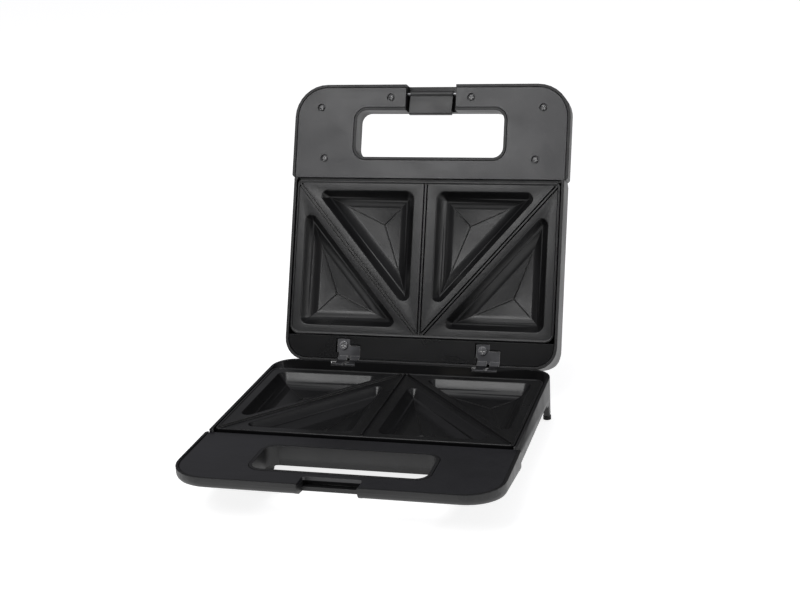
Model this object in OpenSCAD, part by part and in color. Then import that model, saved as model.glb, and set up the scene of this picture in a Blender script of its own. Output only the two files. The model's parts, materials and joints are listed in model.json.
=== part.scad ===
// Sandwich toaster with four triangular pockets, lid standing open.
// Millimetres, +Z up. The origin is on the table, below the middle of the box that the open
// appliance fills. -Y is the handle side, +Y the hinge side.
// Each half is drawn outward from the parting plane: local z = 0 is the parting plane and
// local +z runs into the half, so the base is that drawing mirrored down and the lid is
// that drawing raised and swung open about the hinge axis.

/* [Body] */
// overall width, measured over the handle section
handle_w = 230; // [222:1:245]
// width of the heated body behind the handle section
body_w = 224.8; // [222:0.2:228]
// wall of the moulded casings
wall = 2.2; // [1.8:0.1:2.6]
// depth of the base below the parting plane, feet left out
base_depth = 31; // [30:0.5:36]
// height of the lid above the parting plane
lid_depth = 37; // [34:0.5:44]
// height of the straight side wall of the base
base_side = 18; // [15:0.5:20]
// how far the base narrows under its straight side wall
base_taper = 14; // [8:0.5:16]
// corner radius of the casings at the hinge side, in plan
rear_corner_r = 18; // [12:0.5:24]
// gap between the two casings with the lid shut
rim_gap = 0.8; // [0.6:0.1:2]
// depth of the body from the handle section to its rear face
body_d = 151.2; // [150:0.2:160]

/* [Handles] */
// depth of the handle section, front to back
handle_d = 77.3; // [74:0.1:86]
// thickness of the handle section of each casing
handle_h = 16.5; // [14:0.5:20]
// how far the handle section lies behind the parting plane
handle_set = 2.4; // [1.5:0.1:3.5]
// corner radius of the handle section in plan
handle_corner_r = 27; // [20:0.5:34]
// edge rounding of the handle section
handle_edge_r = 5; // [3:0.5:7]
// length of the hand slot in the cover, across the appliance
slot_w = 128.4; // [110:0.2:140]
// breadth of the hand slot, front to back
slot_d = 43.9; // [36:0.1:46]
// distance from the front of the handle section to the hand slot
slot_front = 18.6; // [17:0.1:24]
// corner radius of the hand slot
slot_r = 11; // [6:0.5:16]
// thickness of the handle covers
cover_t = 2.6; // [2:0.1:3.5]
// clearance around each cover
cover_gap = 0.4; // [0.3:0.05:0.8]

/* [Cooking plates] */
// width of each plate
plate_w = 218.8; // [210:0.2:219.4]
// depth of each plate, front to back
plate_d = 127.2; // [118:0.2:127.6]
// distance from the handle section to the plate
plate_front_gap = 2.6; // [2.4:0.1:4]
// thickness of the flat part of each plate
plate_t = 4; // [3:0.1:5]
// wall of the pockets
pocket_wall = 2.4; // [1.8:0.1:3]
// plate face, from the parting plane
plate_face = 0.9; // [0.6:0.05:1.5]
// depth of the pockets at their middle
pocket_depth = 11.5; // [8:0.1:12.5]
// depth of the pockets where the curved walls end
pocket_foot = 9.2; // [6:0.1:10]
// breadth of the curved pocket walls
pocket_cove = 11.5; // [8:0.1:14]
// land between the pockets and the centre line
margin_centre = 10; // [8:0.1:13]
// land between the pockets and the front and back of the plate
margin_front = 8.5; // [6:0.1:12]
// land between the pockets and the sides of the plate
margin_side = 9; // [7:0.1:12]
// land between the pockets and the diagonals
margin_diag = 7; // [5.5:0.1:9]
// rounding of the pocket corners
pocket_r = 6.5; // [4:0.1:8]
// height of the cutting ribs of the lower plate
rib_h = 1.5; // [0.8:0.1:2]
// breadth of the cutting ribs
rib_w = 1.8; // [1:0.1:2.4]
// breadth of the grooves of the upper plate that the ribs enter
groove_w = 3.6; // [3:0.1:4.4]
// height of the crease ribs on the pocket floors
crease_h = 0.5; // [0.3:0.1:0.8]

/* [Heating] */
// radius of the heating tubes
tube_r = 3.2; // [2.5:0.1:3.4]
// width of the heating loop, centre to centre
loop_w = 132; // [110:1:150]
// depth of the heating loop, centre to centre
loop_d = 72; // [60:1:80]
// bend radius of the heating loop
loop_r = 15; // [10:0.5:20]
// thickness of the reflector sheets
sheet_t = 0.8; // [0.6:0.1:1.2]
// radius of the threaded plate posts
post_r = 3.6; // [3.2:0.1:4.4]

/* [Hinges] */
// hinge axis, behind the rear face of the casings
hinge_back = 4; // [3.9:0.1:6]
// hinge axis, below the parting plane
hinge_drop = 7; // [6:0.1:9]
// distance from the middle of the appliance to each hinge
hinge_x = 57.8; // [45:0.1:70]
// width of each of the two arms of a lid bracket
arm_w = 7.8; // [6:0.1:8.5]
// space between the two arms of a lid bracket
arm_gap = 2.6; // [1.5:0.1:4]
// radius of the hinge pins
pin_r = 1.5; // [1.2:0.1:2]
// angle by which the lid stands open
open_angle = 112; // [95:1:116]
// thickness of the hinge steel
steel_t = 1.4; // [1:0.1:1.8]

/* [Latch] */
// width of the latch
latch_w = 35.6; // [28:0.2:37]
// length of the latch from its pin to its free end
latch_l = 17.6; // [16:0.1:18.5]
// thickness of the latch
latch_t = 2.8; // [2.2:0.1:3.2]
// width of the notches in the front of the handles
notch_w = 41.6; // [41:0.2:60]
// angle at which the latch hangs with the lid open
latch_rest = 12; // [8:1:16]

/* [Feet and fastenings] */
// height of the parting plane above the table
part_z = 39; // [37:0.5:46]
// radius of the round rubber feet
foot_r = 8; // [6:0.5:10]
// radius of the screw heads
head_r = 2.9; // [2.4:0.1:3.2]
// radius of the screw shanks
screw_r = 1.5; // [1.2:0.1:1.7]
// clearance between pieces that do not move on each other
fit = 0.3; // [0.3:0.05:0.4]
// running clearance of pins and shanks in their holes
run = 0.05; // [0.03:0.01:0.1]
// which piece is drawn

/* [Hidden] */
$fn = 40;
hinge_y = 61;
hinge_z = part_z - hinge_drop;
back_y = hinge_y - hinge_back;
step_y = back_y - body_d;
front_y = step_y - handle_d;
plate_y0 = step_y + plate_front_gap;
plate_y1 = plate_y0 + plate_d;
plate_hw = plate_w / 2;
rim_z = rim_gap / 2;
slot_y0 = front_y + slot_front;
slot_y1 = slot_y0 + slot_d;
cover_z0 = handle_set;
cover_z1 = handle_set + cover_t;
handle_z1 = handle_set + handle_h;
notch_y = slot_y0 + 1;
plate_under = plate_face + plate_t;
pocket_under = plate_face + pocket_depth + pocket_wall;
loop_z = pocket_under + fit + tube_r;
sheet_z = loop_z + tube_r + fit;
diag_l = sqrt(plate_hw * plate_hw + plate_d * plate_d);
diag_u = [plate_hw, plate_d] / diag_l;
diag_n = [diag_u[1], -diag_u[0]];
post_at = [for (t = [0.2, 0.8]) [-plate_hw, plate_y0] + diag_u * diag_l * t];
loop_y0 = (plate_y0 + plate_y1) / 2 - loop_d / 2 + 14;
loop_y1 = loop_y0 + loop_d;
lead_x = 14;
gland_z = 16;
lamp_y = step_y + 35;
lead_end = plate_y1 + 5;
latch_y = front_y + 7.2;
latch_z = handle_set + 4.6;
barrel_r = 2.7;
screw_spots = [
  [33.6, front_y + 10.7], [92.9, front_y + 19.2], [88.1, step_y - 15.9]
];
cover_spots = concat(screw_spots, [for (p = screw_spots) [-p[0], p[1]]]);

// ---- shared shapes -------------------------------------------------------------------

function unit(v) = v / norm(v);

// points of a rounded corner at b, between the neighbours a and c
function corner(a, b, c, r, n) =
  let (
    u = unit(a - b), v = unit(c - b),
    half = acos(max(-1, min(1, u * v))) / 2,
    reach = r / tan(half),
    mid = b + unit(u + v) * (r / sin(half)),
    s = b + u * reach - mid, e = b + v * reach - mid,
    a0 = atan2(s[1], s[0]),
    turn = atan2(s[0] * e[1] - s[1] * e[0], s * e)
  )
  [for (i = [0:n]) mid + r * [cos(a0 + turn * i / n), sin(a0 + turn * i / n)]];

// outline of points [x, y, radius] with rounded corners
function rounded(p, n = 5) =
  let (m = len(p))
  [for (i = [0:m - 1])
    let (
      a = p[(i + m - 1) % m], b = p[i], c = p[(i + 1) % m],
      pts = b[2] <= 0 ? [[b[0], b[1]]]
        : corner([a[0], a[1]], [b[0], b[1]], [c[0], c[1]], b[2], n)
    )
    each pts];

// rectangle with its own radius on the front pair and the back pair of corners
module panel(hw, y0, y1, rf, rb, n = 8) {
  polygon(rounded([[-hw, y0, rf], [hw, y0, rf], [hw, y1, rb], [-hw, y1, rb]], n));
}

module tube(r, bore, h) {
  difference() {
    cylinder(r = r, h = h);
    translate([0, 0, -1]) cylinder(r = bore, h = h + 2);
  }
}

// pan-head screw: head downwards at z = 0, shank along +z
module screw(head, shank, len, head_h) {
  difference() {
    union() {
      cylinder(r = head, h = head_h);
      cylinder(r = shank, h = len + head_h);
    }
    for (a = [0, 90]) {
      rotate([0, 0, a]) translate([-head * 0.6, -head * 0.13, -1])
        cube([head * 1.2, head * 0.26, 1 + head_h * 0.5]);
    }
  }
}

// base pieces hang below the parting plane, lid pieces swing open with the lid
module in_base() {
  translate([0, 0, part_z]) mirror([0, 0, 1]) children();
}

module in_lid() {
  translate([0, hinge_y, hinge_z])
    rotate([-open_angle, 0, 0])
      translate([0, -hinge_y, hinge_drop]) children();
}

// ---- casings -------------------------------------------------------------------------

// solid of the body behind the handle section, inset by e
module body_solid(depth, side, taper, edge, e) {
  hw = body_w / 2 - e;
  top = depth - e;
  y0 = step_y + (e > 0 ? wall : -6);
  intersection() {
    translate([0, 0, -20]) linear_extrude(top + 20)
      panel(hw, y0, back_y - e, 0, rear_corner_r - e);
    rotate([90, 0, 0]) translate([0, 0, -back_y - 1])
      linear_extrude(back_y - step_y + 20)
        polygon(rounded([
          [-hw, -20, 0], [hw, -20, 0], [hw, side, edge], [hw - taper, top, edge],
          [-hw + taper, top, edge], [-hw, side, edge]
        ], 5));
    rotate([90, 0, 90]) translate([0, 0, -body_w])
      linear_extrude(2 * body_w)
        polygon(rounded(concat(
          e > 0 ? [[y0, -20, 0]] : [[step_y, handle_z1, 2], [y0, handle_z1, 0], [y0, -20, 0]],
          [[back_y - e, -20, 0], [back_y - e, top, edge], [step_y + 12 + e, top, edge]],
          e > 0 ? [[y0, handle_z1 - e, 2]] : []
        ), 5));
  }
}

// solid of the handle section, inset by e
module handle_solid(e, z0) {
  hw = handle_w / 2 - e;
  top = handle_z1 - e;
  r = max(1, handle_edge_r - e);
  intersection() {
    translate([0, 0, z0]) linear_extrude(top - z0)
      panel(hw, front_y + e, step_y - (e > 0 ? wall : 0), max(handle_corner_r - e, 1), e > 0 ? 1 : 2.5);
    rotate([90, 0, 0]) translate([0, 0, -step_y - 1]) linear_extrude(handle_d + 2)
      polygon(rounded([[-hw, z0, 0], [hw, z0, 0], [hw, top, r], [-hw, top, r]], 5));
    rotate([90, 0, 90]) translate([0, 0, -handle_w]) linear_extrude(2 * handle_w)
      polygon(rounded([
        [front_y + e, z0, 0], [step_y, z0, 0], [step_y, top, 0], [front_y + e, top, r]
      ], 5));
  }
}

// outline of the hand slot, g smaller than the opening in the cover
module slot_outline(g) {
  translate([0, 0]) panel(slot_w / 2 - g, slot_y0 + g, slot_y1 - g, slot_r - g, slot_r - g, 8);
}

// casing shared by both halves: body tub, handle tray, slot tube, notch
module casing(depth, side, taper, edge, notch_floor) {
  difference() {
    union() {
      difference() {
        union() {
          intersection() {
            body_solid(depth, side, taper, edge, 0);
            translate([-body_w, front_y, rim_z]) cube([2 * body_w, 400, 100]);
          }
          handle_solid(0, handle_set - 0.4);
        }
        // body tub
        intersection() {
          body_solid(depth, side, taper, edge, wall);
          translate([-body_w, step_y + wall, -1]) cube([2 * body_w, 400, 100]);
        }
        // tray under the handle cover
        handle_solid(wall, handle_set - 2);
        // the cover and the plate lie over the wall between the handle tray and the body
        translate([-plate_hw, step_y - 0.1, -1]) cube([plate_w, plate_front_gap + 1, cover_z1 + 1]);
        translate([-handle_w / 2 + wall, step_y - wall - 0.1, -1])
          cube([handle_w - 2 * wall, wall + 0.1, cover_z1 + 1]);
      }
      // tube round the hand slot
      translate([0, 0, handle_set - 0.2]) linear_extrude(handle_h - 1)
        difference() {
          slot_outline(cover_gap);
          slot_outline(cover_gap + wall);
        }
      // pad under the notch
      translate([-notch_w / 2 - wall, front_y + 1, notch_floor])
        cube([notch_w + 2 * wall, slot_front - 0.5, handle_z1 - notch_floor - 1.5]);
      // cheeks of the notch
      for (s = [-1, 1]) {
        translate([s * (notch_w / 2 + wall / 2) - wall / 2, front_y + 2, cover_z1 + 0.1])
          cube([wall, slot_front - 1.5, handle_h - cover_t - 2]);
      }
      // bosses under the cover
      for (p = cover_spots) {
        translate([p[0], p[1], cover_z1]) cylinder(r = 3.6, h = handle_h - cover_t - 1);
      }
    }
    // hand slot through the outer skin
    translate([0, 0, -1]) linear_extrude(60) slot_outline(cover_gap + wall);
    for (p = cover_spots) {
      translate([p[0], p[1], 0]) cylinder(r = screw_r + run, h = cover_z1 + 8.3);
    }
  }
}

module base_casing() {
  color([0.13, 0.13, 0.14]) in_base() difference() {
    union() {
      casing(base_depth, base_side, base_taper, 5, 12.5);
      // bosses for the plate screws
      for (s = [-1, 1], p = post_at) {
        translate([s * p[0], p[1], sheet_z + sheet_t]) cylinder(r = 5, h = base_depth - 1 - sheet_z - sheet_t);
      }
      // rear feet, which also hold the wound-up lead
      for (s = [-1, 1]) rear_foot(s);
      // seats of the front feet
      for (s = [-1, 1]) {
        translate([s * 82, step_y + 22, base_depth - 1]) cylinder(r = foot_r + 1.5, h = part_z - base_depth - 2);
      }
      // post of the terminal block
      translate([34, plate_y1 + 9, base_side]) cylinder(r = 2.6, h = base_depth - 1 - base_side);
    }
    // notch that takes the latch, with the ledge it catches
    translate([-notch_w / 2, front_y - 5, -1]) cube([notch_w, 5 + 10.4, 13.5]);
    translate([-notch_w / 2, front_y + 5, 8.6]) cube([notch_w, 8.2, 3.9]);
    // screw holes and their recesses
    for (s = [-1, 1], p = post_at) {
      translate([s * p[0], p[1], sheet_z - 5]) cylinder(r = screw_r + run, h = 40);
      translate([s * p[0], p[1], base_depth - 2.6]) cylinder(r = head_r + 0.5, h = 10);
    }
    // bore of the terminal post
    translate([34, plate_y1 + 9, base_side - 1]) cylinder(r = 1, h = 6);
    // cooling slots in the floor
    for (i = [-4:4]) {
      translate([i * 9 - 1.5, lamp_y, base_depth - wall - 2]) cube([3, 46, wall + 4]);
    }
    // notches in the rear edge for the arms of the lid brackets
    for (s = [-1, 1]) {
      translate([s * hinge_x - arm_w - arm_gap / 2 - 1, back_y - wall - 1, -1])
        cube([2 * arm_w + arm_gap + 2, 12, 5]);
    }
    // outlet of the supply lead
    translate([-80, back_y - 8, gland_z]) rotate([-90, 0, 0]) cylinder(r = 4.6, h = 12);
    // holes of the hinge bracket rivets
    for (s = [-1, 1], d = [-6, 6]) {
      translate([s * hinge_x + d, back_y - 8, hinge_drop + 11]) rotate([-90, 0, 0]) cylinder(r = 1.5 + run, h = 12);
    }
  }
}

// rear foot: a prong under the rear corner, forked for the lead
module rear_foot(s) {
  translate([s * (body_w / 2 - 4.6), 0, 0]) rotate([90, 0, 90]) translate([0, 0, -2.2])
    linear_extrude(4.4)
      polygon(rounded([
        [back_y - 26, 10, 0], [back_y - 2.5, 10, 0], [back_y - 2.5, part_z - 3, 1.5],
        [back_y - 9, part_z - 3, 1.5], [back_y - 11, part_z - 13, 2], [back_y - 19, part_z - 14, 1]
      ], 4));
}

module cover_plate(full_notch) {
  difference() {
    union() {
      translate([0, 0, cover_z0]) linear_extrude(cover_t) difference() {
        panel(handle_w / 2 - wall - cover_gap, front_y + wall + cover_gap, step_y,
          handle_corner_r - wall - cover_gap, 1.5);
        slot_outline(0);
      }
      // stiffening ribs under the cover
      for (s = [-1, 1]) {
        translate([s * 74 - 0.8, slot_y0, cover_z1 - 0.1]) cube([1.6, slot_d, 4]);
      }
    }
    if (full_notch) {
      translate([0, 0, -1]) linear_extrude(30)
        panel(notch_w / 2 + 0.2, front_y - 3, slot_y0 + 3, 0, 0);
    } else {
      translate([0, 0, -1]) linear_extrude(30)
        panel(notch_w / 2 + 0.2, front_y - 3, front_y + 13.8, 0, 2);
    }
  }
}

module base_cover() {
  color([0.25, 0.25, 0.28]) in_base() cover_plate(false);
}

module lid_casing() {
  color([0.12, 0.12, 0.13]) in_lid() difference() {
    union() {
      casing(lid_depth, 25, 5, 9, 12.5);
      // ledge that carries the upper plate at its rear and the hinge trim
      translate([-body_w / 2 + 1, plate_y1 + 0.4, 3]) cube([body_w - 2, 2, 10]);
      // stand-offs behind the reflector
      for (s = [-1, 1], y = [plate_y0 + 26, plate_y1 - 24]) {
        translate([s * 78, y, sheet_z + sheet_t]) cylinder(r = 4, h = lid_depth - 1 - sheet_z - sheet_t);
      }
      // seats of the lamp board
      for (s = [-1, 1]) {
        translate([s * 24, lamp_y, lid_depth - 5]) cylinder(r = 2.6, h = 4);
      }
      for (s = [-1, 1]) {
        translate([s * hinge_x, plate_y1 + 8, 4.4]) translate([-5 - 0, 0, 0]) cylinder(r = 3.4, h = lid_depth - 6);
      }
    }
    // notch of the latch, open to the front and to the hand slot
    translate([-notch_w / 2, front_y - 5, -1]) cube([notch_w, slot_front + 9, 13.5]);
    // bore of the latch pin
    translate([-notch_w / 2 - 5, latch_y, latch_z]) rotate([0, 90, 0]) cylinder(r = pin_r + run, h = notch_w + 10);
    // windows of the two lamps
    for (s = [-1, 1]) {
      translate([s * 9, lamp_y, lid_depth - 10]) cylinder(r = 3.1 + run, h = 20);
    }
    // threaded bores of the hinge screws
    for (s = [-1, 1]) {
      translate([s * hinge_x - 5, plate_y1 + 8, 0]) cylinder(r = screw_r + run, h = 16);
    }
    // arms of the hinge brackets pass through the rear wall
    for (s = [-1, 1]) {
      translate([s * hinge_x - arm_w - arm_gap / 2 - fit, back_y - 8, -1])
        cube([2 * arm_w + arm_gap + 2 * fit, 12, 9]);
    }
  }
}

module lid_cover() {
  color([0.25, 0.25, 0.28]) in_lid() difference() {
    cover_plate(true);
    for (p = cover_spots) {
      translate([p[0], p[1], 0]) cylinder(r = screw_r + run, h = 20);
      translate([p[0], p[1], -1]) cylinder(r = head_r + 0.35, h = cover_z0 + 1 + 1.3);
    }
  }
}

module cover_screw(i) {
  p = cover_spots[i];
  color([0.2, 0.2, 0.22]) in_lid() translate([p[0], p[1], cover_z0 + 0.1])
    screw(head_r, screw_r, 8, 1.2);
}

// ---- cooking plates ------------------------------------------------------------------

// half-plane lines of the two pocket triangles of the left cell: [normal, offset]
line_front = [[0, 1], plate_y0 + margin_front];
line_back = [[0, -1], -(plate_y1 - margin_front)];
line_centre = [[-1, 0], margin_centre];
line_side = [[1, 0], -(plate_hw - margin_side)];
diag_off = diag_n * [-plate_hw, plate_y0];
line_diag_a = [diag_n, diag_off + margin_diag];
line_diag_b = [-diag_n, -diag_off + margin_diag];

function meet(p, q) =
  let (d = p[0][0] * q[0][1] - p[0][1] * q[0][0])
  [(p[1] * q[0][1] - q[1] * p[0][1]) / d, (p[0][0] * q[1] - q[0][0] * p[1]) / d];

tri_a = [meet(line_diag_a, line_front), meet(line_front, line_centre), meet(line_centre, line_diag_a)];
tri_b = [meet(line_side, line_diag_b), meet(line_diag_b, line_back), meet(line_back, line_side)];

function incentre(t) =
  let (a = norm(t[1] - t[2]), b = norm(t[2] - t[0]), c = norm(t[0] - t[1]))
  (a * t[0] + b * t[1] + c * t[2]) / (a + b + c);

function inradius(t) =
  let (a = norm(t[1] - t[2]), b = norm(t[2] - t[0]), c = norm(t[0] - t[1]))
  abs((t[1][0] - t[0][0]) * (t[2][1] - t[0][1]) - (t[1][1] - t[0][1]) * (t[2][0] - t[0][0])) / (a + b + c);

// scooped pocket of triangle t, grown by g on every side, its mouth at z0 and sunk by dz
module scoop(t, g, z0, dz, n = 5, rings = 6) {
  c = incentre(t);
  rin = inradius(t);
  grow = (rin + g) / rin;
  mouth = rounded([for (p = t) let (q = c + (p - c) * grow) [q[0], q[1], pocket_r + g]], n);
  m = len(mouth);
  steps = concat(
    [[1, z0]],
    [for (i = [0:rings]) [1 - pocket_cove / rin * i / rings, plate_face + dz + pocket_foot * sin(90 * i / rings)]]
  );
  pts = concat(
    [for (s = steps, q = mouth) [c[0] + (q[0] - c[0]) * s[0], c[1] + (q[1] - c[1]) * s[0], s[1]]],
    [[c[0], c[1], plate_face + dz + pocket_depth], [c[0], c[1], z0]]
  );
  k = len(steps);
  faces = concat(
    [for (i = [0:k - 2], j = [0:m - 1])
      each [[i * m + j, (i + 1) * m + j, i * m + (j + 1) % m],
        [(i + 1) * m + j, (i + 1) * m + (j + 1) % m, i * m + (j + 1) % m]]],
    [for (j = [0:m - 1]) [(k - 1) * m + j, k * m, (k - 1) * m + (j + 1) % m]],
    [for (j = [0:m - 1]) [(j + 1) % m, k * m + 1, j]]
  );
  polyhedron(pts, faces);
}

// thin raised creases from the middle of a pocket towards its corners
module creases(t) {
  c = incentre(t);
  rin = inradius(t);
  for (p = t) {
    q = c + (p - c) * (1 - pocket_cove / rin) * 0.86;
    d = q - c;
    drop = (pocket_depth - pocket_foot) * 0.86;
    translate([c[0], c[1], plate_face + pocket_depth - crease_h])
      rotate([0, 0, atan2(d[1], d[0])])
        rotate([0, atan2(drop, norm(d)), 0])
          translate([0, -0.5, 0]) cube([norm(d), 1, crease_h + 1]);
  }
}

module both_cells() {
  for (s = [0, 1]) mirror([s, 0, 0]) children();
}

// strip of breadth w along the plate's centre line and diagonals
module divider_lines(w) {
  a = [-plate_hw, plate_y0];
  intersection() {
    panel(plate_hw - 2.5, plate_y0 + 2.5, plate_y1 - 2.5, 2, 5);
    union() {
      translate([-w / 2, plate_y0]) square([w, plate_d]);
      both_cells() translate(a) rotate(atan2(diag_u[1], diag_u[0])) translate([0, -w / 2]) square([diag_l, w]);
    }
  }
}

module plate_blank() {
  translate([0, 0, plate_face]) linear_extrude(plate_t) panel(plate_hw, plate_y0, plate_y1, 3, 8, 6);
  // raised bead round the edge
  translate([0, 0, plate_face - 0.5]) linear_extrude(1) difference() {
    panel(plate_hw - 0.3, plate_y0 + 0.3, plate_y1 - 0.3, 3, 8, 6);
    panel(plate_hw - 1.9, plate_y0 + 1.9, plate_y1 - 1.9, 2, 6.4, 6);
  }
  both_cells() {
    scoop(tri_a, pocket_wall, plate_face + 1, pocket_wall, 4, 4);
    scoop(tri_b, pocket_wall, plate_face + 1, pocket_wall, 4, 4);
    for (p = post_at) translate([p[0], p[1], plate_face + 1]) cylinder(r = post_r, h = sheet_z - plate_face - 1);
  }
}

module plate_cuts() {
  both_cells() {
    scoop(tri_a, 0, plate_face - 3, 0);
    scoop(tri_b, 0, plate_face - 3, 0);
    for (p = post_at) translate([p[0], p[1], sheet_z - 11]) cylinder(r = screw_r + run, h = 20);
  }
}

module lower_plate() {
  color([0.2, 0.2, 0.21]) in_base() {
    difference() {
      plate_blank();
      plate_cuts();
    }
    translate([0, 0, plate_face - rib_h]) linear_extrude(rib_h + 0.5) divider_lines(rib_w);
    both_cells() {
      creases(tri_a);
      creases(tri_b);
    }
  }
}

module upper_plate() {
  color([0.2, 0.2, 0.21]) in_lid() {
    difference() {
      plate_blank();
      plate_cuts();
      translate([0, 0, plate_face - 3]) linear_extrude(3 + 1.4) difference() {
        divider_lines(groove_w);
        divider_lines(1.0);
      }
      translate([0, 0, plate_face - 3]) linear_extrude(3 + 1.2) divider_lines(1.1);
    }
    both_cells() {
      creases(tri_a);
      creases(tri_b);
    }
  }
}

// ---- heating -------------------------------------------------------------------------

module bend(r, a) {
  rotate_extrude(angle = a) translate([r, 0]) circle(r = tube_r);
}

// one side of the heating loop, from the middle of the front run to the cold lead
module half_loop() {
  x1 = loop_w / 2;
  translate([0, loop_y0, loop_z]) rotate([0, 90, 0]) cylinder(r = tube_r, h = x1 - loop_r);
  translate([x1 - loop_r, loop_y0 + loop_r, loop_z]) rotate([0, 0, -90]) bend(loop_r, 90);
  translate([x1, loop_y0 + loop_r, loop_z]) rotate([-90, 0, 0]) cylinder(r = tube_r, h = loop_d - 2 * loop_r);
  translate([x1 - loop_r, loop_y1 - loop_r, loop_z]) bend(loop_r, 90);
  translate([lead_x + 8, loop_y1, loop_z]) rotate([0, 90, 0]) cylinder(r = tube_r, h = x1 - loop_r - lead_x - 8);
  translate([lead_x + 8, loop_y1 + 8, loop_z]) rotate([0, 0, 180]) bend(8, 90);
  translate([lead_x, loop_y1 + 8, loop_z]) rotate([-90, 0, 0]) cylinder(r = tube_r, h = lead_end - loop_y1 - 8);
  translate([lead_x, lead_end - 0.5, loop_z]) rotate([-90, 0, 0]) cylinder(r = 1.2, h = 5);
}

module element() {
  color([0.62, 0.62, 0.64]) for (s = [0, 1]) mirror([s, 0, 0]) half_loop();
}

module lower_element() {
  in_base() element();
}

module upper_element() {
  in_lid() element();
}

// shallow sheet tray below the element
module reflector() {
  x1 = plate_hw - 13;
  y0 = plate_y0 + 9;
  y1 = plate_y1 - 6;
  color([0.7, 0.7, 0.72]) difference() {
    union() {
      translate([0, 0, sheet_z]) linear_extrude(sheet_t) panel(x1, y0, y1, 6, 6, 4);
      translate([0, 0, sheet_z - 5]) linear_extrude(5 + sheet_t) difference() {
        panel(x1, y0, y1, 6, 6, 4);
        panel(x1 - sheet_t, y0 + sheet_t, y1 - sheet_t, 5.2, 5.2, 4);
      }
    }
    for (s = [-1, 1], p = post_at) translate([s * p[0], p[1], sheet_z - 1]) cylinder(r = screw_r + run, h = 5);
    for (s = [-1, 1]) translate([s * lead_x, y1 + 2, loop_z]) rotate([90, 0, 0]) cylinder(r = tube_r + fit, h = 8);
  }
}

module lower_reflector() {
  in_base() reflector();
}

module upper_reflector() {
  in_lid() reflector();
}

// screw k of a plate: 0 front left, 1 front right, 2 back left, 3 back right
module lower_screw(k) {
  p = post_at[k < 2 ? 0 : 1];
  s = k % 2 == 0 ? 1 : -1;
  color([0.7, 0.7, 0.72]) in_base() translate([s * p[0], p[1], base_depth - 2.6 + 1.6])
    mirror([0, 0, 1]) screw(head_r, screw_r, base_depth - 2.6 - sheet_z + 8, 1.6);
}

module upper_screw(k) {
  p = post_at[k < 2 ? 0 : 1];
  s = k % 2 == 0 ? 1 : -1;
  color([0.7, 0.7, 0.72]) in_lid() translate([s * p[0], p[1], sheet_z + sheet_t + 1.6])
    mirror([0, 0, 1]) screw(head_r, screw_r, sheet_t + 8, 1.6);
}

// ---- controls inside the base --------------------------------------------------------

module thermostat() {
  y = plate_y0 + 34;
  color([0.75, 0.73, 0.68]) in_base() {
    translate([0, y, plate_under]) cylinder(r = 6.6, h = 1.2);
    translate([0, y, plate_under + 1.2]) cylinder(r = 5.8, h = 5);
    for (s = [-1, 1]) translate([s * 2.6 - 0.4, y - 1.6, plate_under + 5]) cube([0.8, 3.2, 4.5]);
  }
}

module thermal_fuse() {
  color([0.8, 0.76, 0.55]) in_base() translate([-36, plate_y1 + 9, base_depth - wall - 3.2])
    rotate([0, 90, 0]) {
      cylinder(r = 2.9, h = 18);
      translate([0, 0, -6]) cylinder(r = 0.7, h = 30);
    }
}

module terminal_block() {
  color([0.85, 0.85, 0.83]) in_base() difference() {
    translate([22, plate_y1 + 4.5, base_side - 8]) cube([24, 9.5, 8]);
    for (d = [-7, 7]) translate([34 + d, plate_y1, base_side - 4]) rotate([-90, 0, 0]) cylinder(r = 1.8, h = 20);
    translate([34, plate_y1 + 9, base_side - 20]) cylinder(r = 1.2, h = 30);
  }
}

module cord_gland() {
  color([0.1, 0.1, 0.1]) in_base() translate([-80, back_y, gland_z]) rotate([90, 0, 0]) difference() {
    union() {
      translate([0, 0, -1.6]) cylinder(r = 6.4, h = 1.6);
      cylinder(r = 4.55, h = wall);
      translate([0, 0, wall]) cylinder(r = 6, h = 1.6);
    }
    translate([0, 0, -5]) cylinder(r = 3.2, h = 20);
  }
}

// ---- hinges --------------------------------------------------------------------------

// bracket riveted to the rear wall of the base, with an ear at each end of the pin
module base_hinge(s) {
  ear_x = arm_w + arm_gap / 2 + 0.4;
  color([0.72, 0.72, 0.74]) in_base() translate([s * hinge_x, 0, 0]) {
    difference() {
      translate([-ear_x - steel_t, back_y, hinge_drop + 4.5])
        cube([2 * (ear_x + steel_t), steel_t, 11]);
      for (d = [-6, 6]) translate([d, back_y - 1, hinge_drop + 11]) rotate([-90, 0, 0]) cylinder(r = 1.5 + run, h = 8);
    }
    for (e = [-1, 1]) difference() {
      union() {
        translate([e * (ear_x + steel_t / 2) - steel_t / 2, hinge_y, hinge_drop]) rotate([0, 90, 0])
          cylinder(r = 3.4, h = steel_t);
        translate([e * (ear_x + steel_t / 2) - steel_t / 2, back_y, hinge_drop])
          cube([steel_t, hinge_back + 3.4, 13]);
      }
      translate([e * (ear_x + steel_t / 2) - 5, hinge_y, hinge_drop]) rotate([0, 90, 0]) cylinder(r = pin_r + run, h = 10);
    }
    for (d = [-6, 6]) translate([d, back_y - wall - 0.9, hinge_drop + 11]) rotate([-90, 0, 0]) {
      cylinder(r = 1.5, h = wall + 0.9 + steel_t + 0.8);
      cylinder(r = 2.6, h = 0.85);
      translate([0, 0, wall + 0.9 + steel_t - 0.02]) cylinder(r = 2.6, h = 0.8);
    }
  }
}

module hinge_pin(s) {
  reach = arm_w + arm_gap / 2 + 0.4 + steel_t;
  color([0.8, 0.8, 0.82]) translate([s * hinge_x, hinge_y, hinge_z]) rotate([0, 90, 0]) {
    translate([0, 0, -reach]) cylinder(r = pin_r, h = 2 * reach);
    translate([0, 0, -reach - 1.1]) cylinder(r = 2.4, h = 1.1);
    translate([0, 0, reach]) cylinder(r = 2.2, h = 0.8);
  }
}

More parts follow.
